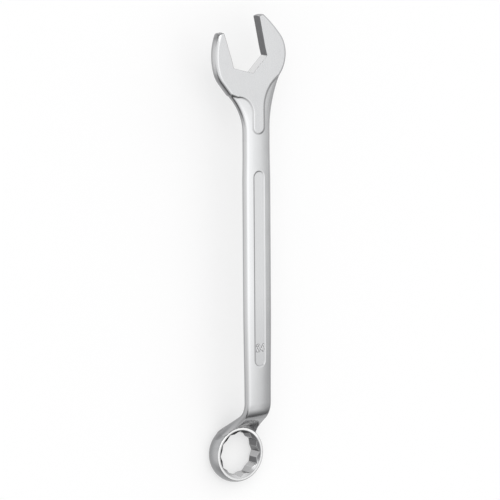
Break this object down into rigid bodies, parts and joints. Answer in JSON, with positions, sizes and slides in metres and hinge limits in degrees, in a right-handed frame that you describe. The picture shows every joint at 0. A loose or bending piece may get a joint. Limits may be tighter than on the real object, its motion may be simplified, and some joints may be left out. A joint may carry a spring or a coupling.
{
  "type": "combination wrench",
  "caption": "One-piece combination wrench with a slanted open jaw at one end and a deep-offset 12-point ring at the other.",
  "frame": {"origin": "axis of the 12-point ring, on the ring's back face", "axes": "+X along the shank from the ring to the open end; +Z out of the front, the side the shank is offset to; +Y towards the short jaw"},
  "size_m": [0.2818, 0.0509, 0.0324],
  "materials": {
    "satin_chrome": "satin chrome over a drop forging, with ground faces on the head and the ring"
  },
  "bodies": {
    "root": {"ring_end": "satin_chrome", "offset_neck": "satin_chrome", "shank": "satin_chrome", "open_end": "satin_chrome"}
  },
  "joints": []
}
